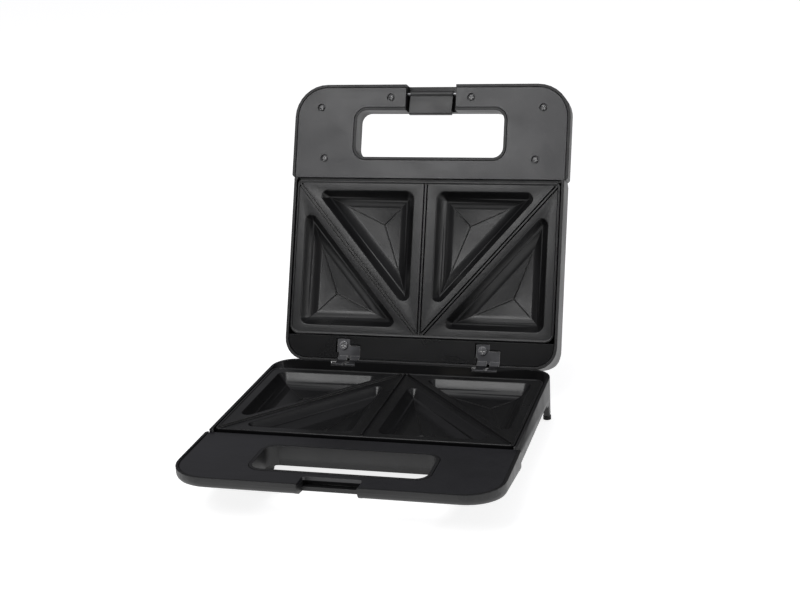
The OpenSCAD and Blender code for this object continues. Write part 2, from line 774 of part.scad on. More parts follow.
// lid bracket: pad under the screw and two arms that reach down to the pin
module lid_hinge(s) {
  color([0.72, 0.72, 0.74]) in_lid() translate([s * hinge_x, 0, 0]) difference() {
    union() {
      translate([-5 - 5.4, plate_y1 + 2.6, 4.4 - steel_t]) cube([10.8, 10.8, steel_t]);
      translate([-arm_w - arm_gap / 2, plate_y1 + 8, 4.4 - steel_t]) cube([2 * arm_w + arm_gap, back_y - plate_y1 - 11, steel_t]);
      for (e = [-1, 1]) translate([e * (arm_gap / 2 + arm_w / 2), 0, 0]) {
        translate([-arm_w / 2, hinge_y, -hinge_drop]) rotate([0, 90, 0]) cylinder(r = 3.2, h = arm_w);
        translate([-arm_w / 2, 0, 0]) rotate([90, 0, 90]) linear_extrude(arm_w)
          polygon([
            [back_y - 5, 4.4], [back_y - 5, 4.4 - steel_t], [back_y - 1.5, 0.6],
            [hinge_y - 2.6, -hinge_drop + 1.8], [hinge_y + 3, -hinge_drop + 1],
            [hinge_y + 2, -2], [back_y + 1.5, 4.4]
          ]);
      }
    }
    translate([-30, hinge_y, -hinge_drop]) rotate([0, 90, 0]) cylinder(r = pin_r + run, h = 60);
    translate([-5, plate_y1 + 8, -5]) cylinder(r = screw_r + run, h = 20);
  }
}

module hinge_screw(s) {
  color([0.78, 0.78, 0.8]) in_lid() translate([s * hinge_x - 5, plate_y1 + 8, 4.4 - steel_t - 1.4])
    screw(3.4, screw_r, 9, 1.4);
}

// glossy trim between the upper plate and the rear edge of the lid
module hinge_trim() {
  y0 = plate_y1 + 0.4;
  color([0.05, 0.05, 0.06]) in_lid() difference() {
    translate([0, 0, 1.4]) linear_extrude(1.6)
      panel(body_w / 2 - wall - 0.4, y0, back_y - wall - 0.4, 0, rear_corner_r - wall - 0.4);
    for (s = [-1, 1]) translate([s * hinge_x, 0, -1]) {
      translate([-11, y0 + 1.9, 0]) cube([11.6, 11.6, 8]);
      translate([-arm_w - arm_gap / 2 - fit, y0 + 7, 0]) cube([2 * arm_w + arm_gap + 2 * fit, 30, 8]);
    }
  }
}

// ---- lid fittings --------------------------------------------------------------------

module lamp_board() {
  color([0.2, 0.35, 0.25]) in_lid() difference() {
    translate([-28, lamp_y - 6, lid_depth - 5 - 1.6]) cube([56, 12, 1.6]);
    for (s = [-1, 1]) translate([s * 24, lamp_y, 0]) cylinder(r = 1, h = 60);
  }
}

module lens(s) {
  in_lid() translate([s * 9, lamp_y, lid_depth - 5]) {
    cylinder(r = 3.9, h = 5 - wall);
    translate([0, 0, 0.1]) cylinder(r = 3.1, h = 5.3);
  }
}

module power_lens() {
  color([0.8, 0.1, 0.05]) lens(-1);
}

module ready_lens() {
  color([0.1, 0.6, 0.15]) lens(1);
}

// latch: barrel on its pin, flat tongue, and a nib that catches the ledge in the base
module latch() {
  color([0.2, 0.2, 0.22]) in_lid() translate([0, latch_y, latch_z]) rotate([-latch_rest, 0, 0]) difference() {
    union() {
      translate([-latch_w / 2, 0, 0]) rotate([0, 90, 0]) cylinder(r = barrel_r, h = latch_w);
      translate([-latch_w / 2, 0, 0]) rotate([90, 0, 90]) linear_extrude(latch_w)
        polygon(rounded([
          [0, -latch_t / 2, 0], [latch_l, -latch_t / 2, 0.8], [latch_l, latch_t / 2 + 1.2, 0.4],
          [latch_l - 2.2, latch_t / 2 + 1.2, 0.4], [latch_l - 3.4, latch_t / 2, 0], [0, latch_t / 2, 0]
        ], 3));
    }
    translate([-50, 0, 0]) rotate([0, 90, 0]) cylinder(r = pin_r + run, h = 100);
  }
}

module latch_pin() {
  color([0.75, 0.75, 0.77]) in_lid() translate([-notch_w / 2 - 4.5, latch_y, latch_z]) rotate([0, 90, 0])
    cylinder(r = pin_r, h = notch_w + 9);
}

// round rubber foot under the front, pad on each rear prong
module foot(fx, fy) {
  color([0.08, 0.08, 0.08]) if (fy < 0) {
    translate([fx * 82, step_y + 22, 0]) cylinder(r = foot_r, h = 3);
  } else {
    translate([fx * (body_w / 2 - 4.6), back_y - 5.8, 0]) cylinder(r = 3.1, h = 3);
  }
}

// ---- pieces --------------------------------------------------------------------------

base_casing();
base_cover();
lower_plate();
lower_element();
lower_reflector();
lower_screw(0);  // lower_screw_fl
lower_screw(1);  // lower_screw_fr
lower_screw(2);  // lower_screw_bl
lower_screw(3);  // lower_screw_br
thermostat();
thermal_fuse();
terminal_block();
cord_gland();
base_hinge(-1);  // base_hinge_l
base_hinge(1);  // base_hinge_r
hinge_pin(-1);  // hinge_pin_l
hinge_pin(1);  // hinge_pin_r
foot(-1, -1);  // foot_fl
foot(1, -1);  // foot_fr
foot(-1, 1);  // foot_bl
foot(1, 1);  // foot_br
lid_casing();
lid_cover();
cover_screw(0);  // cover_screw_1
cover_screw(1);  // cover_screw_2
cover_screw(2);  // cover_screw_3
cover_screw(3);  // cover_screw_4
cover_screw(4);  // cover_screw_5
cover_screw(5);  // cover_screw_6
upper_plate();
upper_element();
upper_reflector();
upper_screw(0);  // upper_screw_fl
upper_screw(1);  // upper_screw_fr
upper_screw(2);  // upper_screw_bl
upper_screw(3);  // upper_screw_br
hinge_trim();
lid_hinge(-1);  // lid_hinge_l
lid_hinge(1);  // lid_hinge_r
hinge_screw(-1);  // hinge_screw_l
hinge_screw(1);  // hinge_screw_r
lamp_board();
power_lens();
ready_lens();
latch();
latch_pin();
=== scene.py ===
import bmesh
import bpy
import json
import math
from mathutils import Matrix, Vector


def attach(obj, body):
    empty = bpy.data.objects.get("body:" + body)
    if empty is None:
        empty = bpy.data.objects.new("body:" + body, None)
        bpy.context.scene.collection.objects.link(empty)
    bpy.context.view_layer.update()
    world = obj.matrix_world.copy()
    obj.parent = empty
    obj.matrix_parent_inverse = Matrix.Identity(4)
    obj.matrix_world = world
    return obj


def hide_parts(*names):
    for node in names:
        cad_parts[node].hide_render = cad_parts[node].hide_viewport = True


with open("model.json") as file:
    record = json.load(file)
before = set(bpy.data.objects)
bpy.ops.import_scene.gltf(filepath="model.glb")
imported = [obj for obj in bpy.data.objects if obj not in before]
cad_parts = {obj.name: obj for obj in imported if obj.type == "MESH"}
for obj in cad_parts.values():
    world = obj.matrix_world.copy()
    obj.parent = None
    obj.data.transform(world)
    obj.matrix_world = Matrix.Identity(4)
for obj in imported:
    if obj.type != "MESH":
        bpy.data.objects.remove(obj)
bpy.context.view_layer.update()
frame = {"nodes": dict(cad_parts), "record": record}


# ---------- node helpers ----------

BEVEL_SAMPLES = 6
WEAR_AND_HIGHLIGHT_RADIUS, WEAR_AND_HIGHLIGHT_DOT = 0.0007, (0.99, 0.80)    # how round and how turned an edge is that takes the lighter edge tone: rubbed wear, and on the cooking plates painted highlight lines
MIDDLE, WIDE = (0.35, 0.65), (0.3, 0.7)         # ranges of a noise that are spread over a span


def srgb(level):
    """Linear value of an sRGB level from 0 to 255."""
    c = level / 255
    return c / 12.92 if c <= 0.04045 else ((c + 0.055) / 1.055) ** 2.4


def tone(r, g=None, b=None):
    """A linear colour from sRGB levels; one level alone is a grey."""
    g = r if g is None else g
    b = r if b is None else b
    return (srgb(r), srgb(g), srgb(b), 1)


class Net:
    """A small wrapper that adds and links nodes."""

    def __init__(self, tree):
        self.tree = tree
        tree.nodes.clear()

    def add(self, kind, **settings):
        """A node with its inputs and properties set by name; a socket as a value is linked."""
        node = self.tree.nodes.new(kind)
        for key, value in settings.items():
            if key in node.inputs:
                self.put(node.inputs[key], value)
            else:
                setattr(node, key, value)
        return node

    def put(self, socket, value):
        if isinstance(value, bpy.types.NodeSocket):
            self.tree.links.new(value, socket)
        else:
            socket.default_value = value

    def position(self):
        return self.add("ShaderNodeTexCoord").outputs["Object"]

    def stretch(self, vector, scale):
        return self.add("ShaderNodeMapping", Vector=vector, Scale=scale).outputs["Vector"]

    def noise(self, vector, scale, detail, rough=0.55, distort=0.0):
        """Noise from 0 to 1 with scale waves a metre and detail octaves."""
        n = self.add("ShaderNodeTexNoise", Vector=vector, Scale=scale, Detail=detail,
                     Roughness=rough, Distortion=distort)
        return n.outputs["Fac"]

    def cells(self, vector, scale):
        """Distance from the middle of the nearest cell, with scale cells a metre."""
        return self.add("ShaderNodeTexVoronoi", Vector=vector, Scale=scale).outputs["Distance"]

    def span(self, value, source, target=(0, 1)):
        """A value in the source range mapped to the target range, clamped."""
        n = self.add("ShaderNodeMapRange", Value=value)
        for name, x in zip(("From Min", "From Max", "To Min", "To Max"), source + target):
            n.inputs[name].default_value = x
        return n.outputs["Result"]

    def math(self, operation, a, b):
        n = self.add("ShaderNodeMath", operation=operation)
        self.put(n.inputs[0], a)
        self.put(n.inputs[1], b)
        return n.outputs[0]

    def mix(self, fac, a, b):
        """Colour a where fac is 0 and b where it is 1."""
        n = self.add("ShaderNodeMix", data_type="RGBA")
        self.put(n.inputs[0], fac)
        self.put(n.inputs[6], a)
        self.put(n.inputs[7], b)
        return n.outputs[2]

    def bump(self, height, distance, strength, normal):
        """Normal tilted by a height that is worth distance in metres."""
        n = self.add("ShaderNodeBump", Height=height, Distance=distance, Strength=strength,
                     Normal=normal)
        return n.outputs["Normal"]

    def round_edges(self, radius):
        return self.add("ShaderNodeBevel", samples=BEVEL_SAMPLES, Radius=radius).outputs["Normal"]

    def worn_and_highlit_edges(self, share):
        """Up to share along sharp outer edges, where the rounded normal leaves the true one: a
        mask for rubbed wear, and on the cooking plates for painted highlight lines.
        """
        dot = self.add("ShaderNodeVectorMath", operation="DOT_PRODUCT")
        self.put(dot.inputs[0], self.round_edges(WEAR_AND_HIGHLIGHT_RADIUS))
        self.put(dot.inputs[1], self.add("ShaderNodeNewGeometry").outputs["Normal"])
        return self.math("MULTIPLY", self.span(dot.outputs["Value"], WEAR_AND_HIGHLIGHT_DOT), share)


def material(name, build):
    """A material whose surface is the node that build(net) returns."""
    m = bpy.data.materials.new(name)
    m.use_nodes = True
    net = Net(m.node_tree)
    out = net.add("ShaderNodeOutputMaterial")
    net.put(out.inputs["Surface"], build(net).outputs[0])
    return m


SHADER_INPUTS = {
    "color": "Base Color", "metal": "Metallic", "rough": "Roughness", "ior": "IOR",
    "spec": "Specular IOR Level", "coat": "Coat Weight", "coat_rough": "Coat Roughness",
    "normal": "Normal", "coat_normal": "Coat Normal", "trans": "Transmission Weight",
}


def principled(net, **values):
    shader = net.add("ShaderNodeBsdfPrincipled")
    for key, value in values.items():
        net.put(shader.inputs[SHADER_INPUTS[key]], value)
    return shader


# ---------- materials: colours in sRGB levels, lengths in metres, scales per metre ----------

def moulded(low, high, rough, grain, grain_depth, edge, spec=0.5):
    """Injection moulded plastic: fine spark grain, slow tone and gloss variation, rubbed edges."""

    def build(net):
        p = net.position()
        base = net.mix(net.span(net.noise(p, 14, 3, 0.5), MIDDLE), low, high)
        rubbed = net.span(net.noise(p, 60, 4, 0.6), (0.42, 0.62), (0.15, 1.0))
        base = net.mix(net.worn_and_highlit_edges(rubbed), base, tone(edge, edge, edge + 1))
        smear = net.noise(net.stretch(p, (1, 3, 1)), 30, 4, 0.6, 0.4)
        pebble = net.math("ADD", net.cells(p, grain), net.noise(p, grain * 0.7, 2, 0.6))
        normal = net.bump(pebble, grain_depth, 0.6, net.round_edges(0.0005))
        return principled(net, color=base, rough=net.span(smear, WIDE, rough), normal=normal,
                          spec=spec)

    return build


def coated_plate(net):
    """Cast aluminium under a satin black release coat: orange peel, tiny specks, and sharp edges
    painted lighter, partly as a rubbed coat and partly as painted highlight lines.
    """
    p = net.position()
    cloud = net.span(net.noise(p, 22, 4, 0.55), (0.35, 0.68))
    base = net.mix(cloud, tone(11, 11, 12), tone(17, 17, 18))
    speck = net.span(net.cells(p, 900), (0.10, 0.04), (0, 0.5))
    base = net.mix(speck, base, tone(40, 40, 42))
    # Painted highlight: every sharp edge of the plate is lightened by a fixed share, in place of
    # the bright lines of light along its rims and pocket mouths; a rubbed coat is the real part.
    base = net.mix(net.worn_and_highlit_edges(0.55), base, tone(48, 47, 46))
    smear = net.noise(net.stretch(p, (1.0, 1.6, 1.0)), 34, 4, 0.6, 0.5)
    rounded = net.round_edges(0.00035)
    peel = net.bump(net.noise(p, 420, 2, 0.5), 0.00012, 0.5, rounded)
    wavy = net.bump(net.noise(p, 60, 2, 0.5), 0.0004, 0.25, peel)
    return principled(net, color=base, rough=net.span(smear, WIDE, (0.27, 0.37)), normal=wavy,
                      coat=0.08, coat_rough=0.22, coat_normal=rounded, spec=0.40)


def metal(low, high, rough, scale, brush=(1, 1, 1), depth=0.00004, tint=None, metallic=1.0):
    """Plated or drawn metal with fine lines, slow staining and brighter rubbed edges."""

    def build(net):
        p = net.position()
        lines = net.noise(net.stretch(p, brush), scale, 3, 0.6)
        base = net.mix(net.span(net.noise(p, 45, 4, 0.6), MIDDLE), low, high)
        if tint is not None:
            stain = net.span(net.noise(p, 25, 3, 0.6), (0.5, 0.7), (0, 0.7))
            base = net.mix(stain, base, tint)
        base = net.mix(net.worn_and_highlit_edges(0.5), base, tone(215, 214, 210))
        normal = net.bump(lines, depth, 0.6, net.round_edges(0.0003))
        return principled(net, color=base, rough=net.span(lines, WIDE, rough), normal=normal,
                          metal=metallic)

    return build


def rubber(net):
    """Matt rubber with pale dust in its pores."""
    p = net.position()
    base = net.mix(net.span(net.noise(p, 40, 3, 0.6), MIDDLE), tone(22), tone(34))
    dust = net.span(net.noise(p, 240, 4, 0.7), (0.55, 0.75), (0, 0.5))
    base = net.mix(dust, base, tone(70, 68, 66))
    normal = net.bump(net.noise(p, 900, 2, 0.6), 0.00008, 0.6, net.round_edges(0.0004))
    rough = net.span(net.noise(p, 80, 2, 0.5), WIDE, (0.7, 0.85))
    return principled(net, color=base, rough=rough, normal=normal)


def glazed(low, high, rough):
    """Smooth ceramic or hard pale plastic."""

    def build(net):
        p = net.position()
        base = net.mix(net.span(net.noise(p, 90, 3, 0.6), MIDDLE), low, high)
        normal = net.bump(net.noise(p, 500, 2, 0.5), 0.00006, 0.5, net.round_edges(0.0003))
        gloss = net.span(net.noise(p, 120, 2, 0.5), WIDE, (rough - 0.05, rough + 0.08))
        return principled(net, color=base, rough=gloss, normal=normal)

    return build


def circuit(net):
    """Glass-fibre board with a fine weave and copper pads under green resist."""
    p = net.position()
    warp = net.noise(net.stretch(p, (1, 8, 1)), 500, 1)
    weft = net.noise(net.stretch(p, (8, 1, 1)), 500, 1)
    weave = net.math("MULTIPLY", warp, weft)
    base = net.mix(net.span(weave, (0.15, 0.35)), tone(24, 62, 38), tone(38, 84, 52))
    base = net.mix(net.span(net.cells(p, 260), (0.22, 0.16)), base, tone(170, 140, 90))
    normal = net.bump(weave, 0.00006, 0.6, net.round_edges(0.0002))
    rough = net.span(net.noise(p, 150, 2), WIDE, (0.3, 0.45))
    return principled(net, color=base, rough=rough, normal=normal)


def lens(deep, bright):
    """Clear tinted plastic with fine ribs."""

    def build(net):
        p = net.position()
        base = net.mix(net.span(net.noise(p, 200, 2), MIDDLE), deep, bright)
        ribs = net.noise(net.stretch(p, (6, 1, 1)), 260, 1, 0.5)
        normal = net.bump(ribs, 0.00008, 0.4, net.round_edges(0.0003))
        rough = net.span(net.noise(p, 90, 2), WIDE, (0.08, 0.2))
        return principled(net, color=base, rough=rough, normal=normal, trans=0.35, ior=1.49)

    return build


recipes = {
    "casing": moulded(tone(14, 14, 15), tone(20, 20, 21), rough=(0.40, 0.52),
                      grain=1500, grain_depth=0.00006, edge=38),
    "cover": moulded(tone(18, 18, 21), tone(25, 25, 29), rough=(0.33, 0.42),
                     grain=1900, grain_depth=0.00004, edge=42, spec=0.66),
    "gloss_trim": moulded(tone(9, 9, 10), tone(14, 14, 15), rough=(0.24, 0.36),
                          grain=1500, grain_depth=0.00003, edge=26, spec=0.22),
    "latch_plastic": moulded(tone(23, 23, 24), tone(30, 30, 31), rough=(0.34, 0.46),
                             grain=1500, grain_depth=0.00005, edge=44),
    "nonstick": coated_plate,
    "tube_steel": metal(tone(70, 66, 60), tone(104, 98, 90), rough=(0.35, 0.5),
                        scale=500, depth=0.00003, tint=tone(92, 74, 58)),
    "reflector": metal(tone(150, 151, 152), tone(182, 182, 180), rough=(0.28, 0.42),
                       scale=120, brush=(14, 1, 1), depth=0.00002, tint=tone(150, 138, 120)),
    "zinc": metal(tone(160, 162, 165), tone(192, 193, 195), rough=(0.25, 0.4),
                  scale=420, depth=0.00003, tint=tone(168, 162, 140)),
    "dark_screw": metal(tone(66, 66, 68), tone(88, 88, 90), rough=(0.3, 0.42),
                        scale=500, depth=0.00003, metallic=0.8),
    "fuse_metal": metal(tone(168, 168, 168), tone(196, 196, 194), rough=(0.25, 0.38),
                        scale=240, brush=(1, 6, 1)),
    "hinge_steel": metal(tone(58, 58, 60), tone(84, 84, 86), rough=(0.34, 0.48),
                         scale=360, tint=tone(80, 79, 78), metallic=0.85),
    "pin_steel": metal(tone(92, 92, 94), tone(120, 120, 122), rough=(0.2, 0.34),
                       scale=240, brush=(1, 8, 8)),
    "ceramic": glazed(tone(205, 200, 188), tone(222, 218, 208), 0.45),
    "terminal_plastic": glazed(tone(196, 190, 172), tone(212, 206, 190), 0.5),
    "rubber": rubber,
    "board": circuit,
    "lens_red": lens(tone(120, 10, 8), tone(168, 22, 16)),
    "lens_green": lens(tone(12, 92, 30), tone(26, 132, 48)),
}
finish = {slot: material(slot, build) for slot, build in recipes.items()}

slot_of = {part["node"]: part["material_slot"] for part in frame["record"]["subparts"]}
for node, obj in frame["nodes"].items():
    obj.data.materials.clear()
    obj.data.materials.append(finish[slot_of[node]])


# ---------- mesh helpers, in the millimetres of each half before it is placed ----------
# In a half's own frame z runs from the parting plane into the half, and y towards the hinges.

HINGE_Y, HINGE_Z, HINGE_DROP, OPEN_ANGLE, PART_Z = 61, 32, 7, math.radians(112), 39
TO_METRES = Matrix.Scale(0.001, 4)
IN_BASE = TO_METRES @ Matrix.Translation((0, 0, PART_Z)) @ Matrix.Diagonal((1, 1, -1, 1))
IN_LID = (TO_METRES @ Matrix.Translation((0, HINGE_Y, HINGE_Z))
          @ Matrix.Rotation(-OPEN_ANGLE, 4, "X") @ Matrix.Translation((0, -HINGE_Y, HINGE_DROP)))
WELD_MM, WELD_M = 1e-4, 1e-7
CIRCLE_STEPS = 32
SHARP, SHARP_PLATE = 30, 11     # degrees between faces from which an edge stays sharp


def ring(points, radii, steps):
    """Outline round the points, each corner an arc; a radius of 0 repeats the corner."""
    out = []
    count = len(points)
    for i in range(count):
        b = Vector(points[i])
        u = (Vector(points[i - 1]) - b).normalized()
        v = (Vector(points[(i + 1) % count]) - b).normalized()
        half = u.angle(v) / 2
        mid = b + (u + v).normalized() * (radii[i] / math.sin(half))
        s = b + u * (radii[i] / math.tan(half)) - mid
        e = b + v * (radii[i] / math.tan(half)) - mid
        turn = math.atan2(s.x * e.y - s.y * e.x, s.dot(e))
        for k in range(steps + 1):
            c, w = math.cos(turn * k / steps), math.sin(turn * k / steps)
            out.append((mid.x + c * s.x - w * s.y, mid.y + w * s.x + c * s.y))
    return out


def circle(x, y, radius):
    turns = [math.tau * k / CIRCLE_STEPS for k in range(CIRCLE_STEPS)]
    return [(x + radius * math.cos(t), y + radius * math.sin(t)) for t in turns]


def rectangle(x0, x1, y0, y1):
    return [(x0, y0), (x1, y0), (x1, y1), (x0, y1)]


def bridge(bm, rows):
    """Quads between neighbouring closed rows of as many vertices each."""
    m = len(rows[0])
    for a, b in zip(rows, rows[1:]):
        for j in range(m):
            bm.faces.new((a[j], a[(j + 1) % m], b[(j + 1) % m], b[j]))


def loft(bm, rings, apex=None):
    """Closed shell through rings of (outline, z), its far end flat or drawn in to apex."""
    rows = [[bm.verts.new((x, y, z)) for x, y in outline] for outline, z in rings]
    bridge(bm, rows)
    bm.faces.new(list(reversed(rows[0])))
    last = rows[-1]
    if apex is None:
        bm.faces.new(last)
    else:
        tip = bm.verts.new(apex)
        for j, vert in enumerate(last):
            bm.faces.new((vert, last[(j + 1) % len(last)], tip))


def prism(bm, outline, z0, z1):
    loft(bm, [(outline, z0), (outline, z1)])


def bar(bm, a, b, offset, width, z0, z1, crown=1.0):
    """Straight bar from a to b, set off sideways; at z0 its width is multiplied by crown."""
    u = (b - a).normalized()
    n = Vector((-u.y, u.x))
    rings = []
    for z, w in ((z0, width * crown), (z1, width)):
        low, high = n * (offset - w / 2), n * (offset + w / 2)
        rings.append(([tuple(p) for p in (a + low, b + low, b + high, a + high)], z))
    loft(bm, rings)


def mend(bm, weld):
    """Weld doubles and turn every face outwards."""
    bmesh.ops.remove_doubles(bm, verts=bm.verts, dist=weld)
    bmesh.ops.recalc_face_normals(bm, faces=bm.faces)


def new_object(name, fill):
    """A linked object with the mesh that fill(bm) draws."""
    bm = bmesh.new()
    fill(bm)
    mend(bm, WELD_MM)
    mesh = bpy.data.meshes.new(name)
    bm.to_mesh(mesh)
    bm.free()
    obj = bpy.data.objects.new(name, mesh)
    bpy.context.scene.collection.objects.link(obj)
    return obj


def combine(target, tool, operation):
    """Boolean of the target with an object or with what a function draws, applied at once."""
    if callable(tool):
        tool = new_object("tool", tool)
    mod = target.modifiers.new("op", "BOOLEAN")
    mod.operation, mod.solver, mod.object = operation, "EXACT", tool
    deps = bpy.context.evaluated_depsgraph_get()
    mesh = bpy.data.meshes.new_from_object(target.evaluated_get(deps))
    target.modifiers.clear()
    target.data = mesh
    bpy.data.objects.remove(tool)


def dress(obj, place, slot, body, node, sharp):
    """Put a finished mesh in its place, smooth it and let it stand for its node."""
    bm = bmesh.new()
    bm.from_mesh(obj.data)
    bm.transform(place)
    mend(bm, WELD_M)
    for face in bm.faces:
        face.smooth = True
    bm.to_mesh(obj.data)
    bm.free()
    obj.data.set_sharp_from_angle(angle=math.radians(sharp))
    obj.data.materials.clear()
    obj.data.materials.append(finish[slot])
    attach(obj, body)
    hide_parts(node)


# ---------- cooking plates, cast with smooth coved pockets ----------

PLATE_HW, PLATE_Y0, PLATE_Y1 = 109.4, -91.6, 35.6
PLATE_FACE, POCKET_WALL, SHEET_Z = 0.9, 2.4, 21.8
CORNER_RADII, MIN_R = (3, 3, 8, 8), 0.5
# Inset from the outline and z, from the plate's back over its raised edge bead to its face.
EDGE_PROFILE = ((0.3, 4.9), (0, 4.6), (0, 1.1), (0.15, 0.7), (0.5, 0.45), (1.0, 0.4),
                (1.5, 0.47), (1.9, 0.72), (2.2, PLATE_FACE))
POST_SHARES, POST_R, SCREW_BORE, BORE_L = (0.2, 0.8), 3.6, 1.55, 11
MARGIN_CENTRE, MARGIN_FRONT, MARGIN_SIDE, MARGIN_DIAG = 10, 8.5, 9, 7
TIP_R, ELBOW_R = 4.6, 6.4
COVE, FOOT, LIP, FLOOR_DEPTH = 12.5, 8.3, 0.7, 11.5
LIP_STATIONS, COVE_STEPS, FLOOR_SHARES = [-1, -0.85, -0.65, -0.4, -0.2, 0], 16, (0.25, 0.5, 0.75)
GROOVE_W, GROOVE_OFFSET, GROOVE_DEPTH = 1.1, 1.2, 2.4
RIB_W, RIB_H, RIB_ROOT, RIB_CROWN = 1.8, 1.5, 0.6, 0.55
DIVIDER_END, CENTRE_END_FRONT, CENTRE_END_BACK = 4.5, 2.6, 3.0
CREASE_SHARE, CREASE_STEPS, CREASE_H, CREASE_TAIL, CREASE_ROOT = 0.56, 8, 0.7, 0.02, 0.15
CREASE_SECTION = ((-0.5, False), (-0.2, True), (0.2, True), (0.5, False))   # side, on the crown
WALL_START, POST_START = 0.5, 1                     # inside the slab, below its face
POCKET_CLEAR, GROOVE_CLEAR, BORE_CLEAR = 3, 2, 2    # how far cutting shapes stand clear
POCKET_ARC, SLAB_ARC = 12, 6                        # steps of a corner


def meet(p, q):
    """Point on both lines n.x = k."""
    (a, k), (b, m) = p, q
    d = a[0] * b[1] - a[1] * b[0]
    return Vector(((k * b[1] - m * a[1]) / d, (a[0] * m - b[0] * k) / d))


def mirrored(v):
    return Vector((-v.x, v.y))


def incircle(points):
    """Centre and radius of a triangle's inscribed circle."""
    a, b, c = ((points[i] - points[(i + 1) % 3]).length for i in (1, 2, 0))
    area2 = abs((points[1] - points[0]).cross(points[2] - points[0]))
    return (a * points[0] + b * points[1] + c * points[2]) / (a + b + c), area2 / (a + b + c)


plate_corner, plate_top = Vector((-PLATE_HW, PLATE_Y0)), Vector((0, PLATE_Y1))
plate_l = math.hypot(PLATE_HW, PLATE_Y1 - PLATE_Y0)
diag = Vector((PLATE_HW / plate_l, (PLATE_Y1 - PLATE_Y0) / plate_l))
across = Vector((diag.y, -diag.x))
across_k = across.dot(plate_corner)
front_line = ((0, 1), PLATE_Y0 + MARGIN_FRONT)
back_line = ((0, 1), PLATE_Y1 - MARGIN_FRONT)
centre_line = ((1, 0), -MARGIN_CENTRE)
side_line = ((1, 0), -PLATE_HW + MARGIN_SIDE)
near_diag = ((across.x, across.y), across_k + MARGIN_DIAG)
far_diag = ((across.x, across.y), across_k - MARGIN_DIAG)
inner_pocket = [(meet(near_diag, front_line), TIP_R), (meet(front_line, centre_line), ELBOW_R),
                (meet(centre_line, near_diag), TIP_R)]
outer_pocket = [(meet(side_line, far_diag), TIP_R), (meet(far_diag, back_line), TIP_R),
                (meet(back_line, side_line), ELBOW_R)]
pockets = [[(Vector((p.x * side, p.y)), r) for p, r in pocket][::side]
           for pocket in (inner_pocket, outer_pocket) for side in (1, -1)]
post_spots = [plate_corner + diag * plate_l * t for t in POST_SHARES]
post_spots += [mirrored(p) for p in post_spots]
dividers = [
    (plate_corner + diag * DIVIDER_END, plate_top - diag * DIVIDER_END),
    (mirrored(plate_corner) + mirrored(diag) * DIVIDER_END,
     plate_top - mirrored(diag) * DIVIDER_END),
    (Vector((0, PLATE_Y0 + CENTRE_END_FRONT)), Vector((0, PLATE_Y1 - CENTRE_END_BACK))),
]


def pocket_depth(d, inradius):
    """Depth below the plate's face at a distance d inside the mouth."""
    if d < 0:
        return LIP * (1 - min(1, -d)) ** 2
    slope = (FLOOR_DEPTH - LIP - FOOT) / inradius
    return LIP + FOOT * (1 - (1 - min(1, d / COVE)) ** 2) + slope * d


def scoop(bm, pocket, wall, start_z):
    """The inside of a pocket, or the outside of its wall where that has a thickness."""
    points, radii = [p for p, r in pocket], [r for p, r in pocket]
    centre, inradius = incircle(points)
    stations = LIP_STATIONS + [COVE * i / COVE_STEPS for i in range(1, COVE_STEPS + 1)]
    stations += [COVE + (inradius - COVE) * t for t in FLOOR_SHARES]
    rings = []
    for d in stations:
        inset = d - wall
        scale = (inradius - inset) / inradius
        corners = [centre + (p - centre) * scale for p in points]
        outline = ring(corners, [max(r - inset, 0.0) for r in radii], POCKET_ARC)
        rings.append((outline, PLATE_FACE + wall + pocket_depth(d, inradius)))
    rings.insert(0, (rings[0][0], start_z))
    loft(bm, rings, (centre.x, centre.y, PLATE_FACE + wall + FLOOR_DEPTH))


def slab(bm):
    rings = []
    for inset, z in EDGE_PROFILE:
        box = rectangle(-PLATE_HW + inset, PLATE_HW - inset, PLATE_Y0 + inset, PLATE_Y1 - inset)
        rings.append((ring(box, [max(r - inset, MIN_R) for r in CORNER_RADII], SLAB_ARC), z))
    loft(bm, rings)


def walls_and_posts(bm):
    for pocket in pockets:
        scoop(bm, pocket, POCKET_WALL, PLATE_FACE + WALL_START)
    for spot in post_spots:
        prism(bm, circle(*spot, POST_R), PLATE_FACE + POST_START, SHEET_Z)


def pockets_and_bores(bm):
    for pocket in pockets:
        scoop(bm, pocket, 0, PLATE_FACE - POCKET_CLEAR)
    for spot in post_spots:
        prism(bm, circle(*spot, SCREW_BORE), SHEET_Z - BORE_L, SHEET_Z + BORE_CLEAR)


def groove_pair(bm, ends):
    for offset in (-GROOVE_OFFSET, GROOVE_OFFSET):
        bar(bm, *ends, offset, GROOVE_W, PLATE_FACE - GROOVE_CLEAR, PLATE_FACE + GROOVE_DEPTH)


def rib(bm, ends):
    bar(bm, *ends, 0, RIB_W, PLATE_FACE - RIB_H, PLATE_FACE + RIB_ROOT, RIB_CROWN)


def crease(bm, pocket):
    """Thin ridges from the middle of a pocket along its three hips."""
    centre, inradius = incircle([p for p, r in pocket])
    for p, r in pocket:
        hip = p - centre
        n = Vector((-hip.y, hip.x)).normalized()
        rows = []
        for k in range(CREASE_STEPS + 1):
            t = CREASE_SHARE * k / CREASE_STEPS
            q = centre + hip * t
            floor_z = PLATE_FACE + pocket_depth(inradius * (1 - t), inradius)
            crown_z = floor_z - (CREASE_H * (1 - (k / CREASE_STEPS) ** 3) + CREASE_TAIL)
            root_z = floor_z + CREASE_ROOT
            rows.append([bm.verts.new((q.x + n.x * w, q.y + n.y * w, crown_z if crown else root_z))
                         for w, crown in CREASE_SECTION])
        bridge(bm, rows)
        bm.faces.new(rows[0][::-1])
        bm.faces.new(rows[-1])


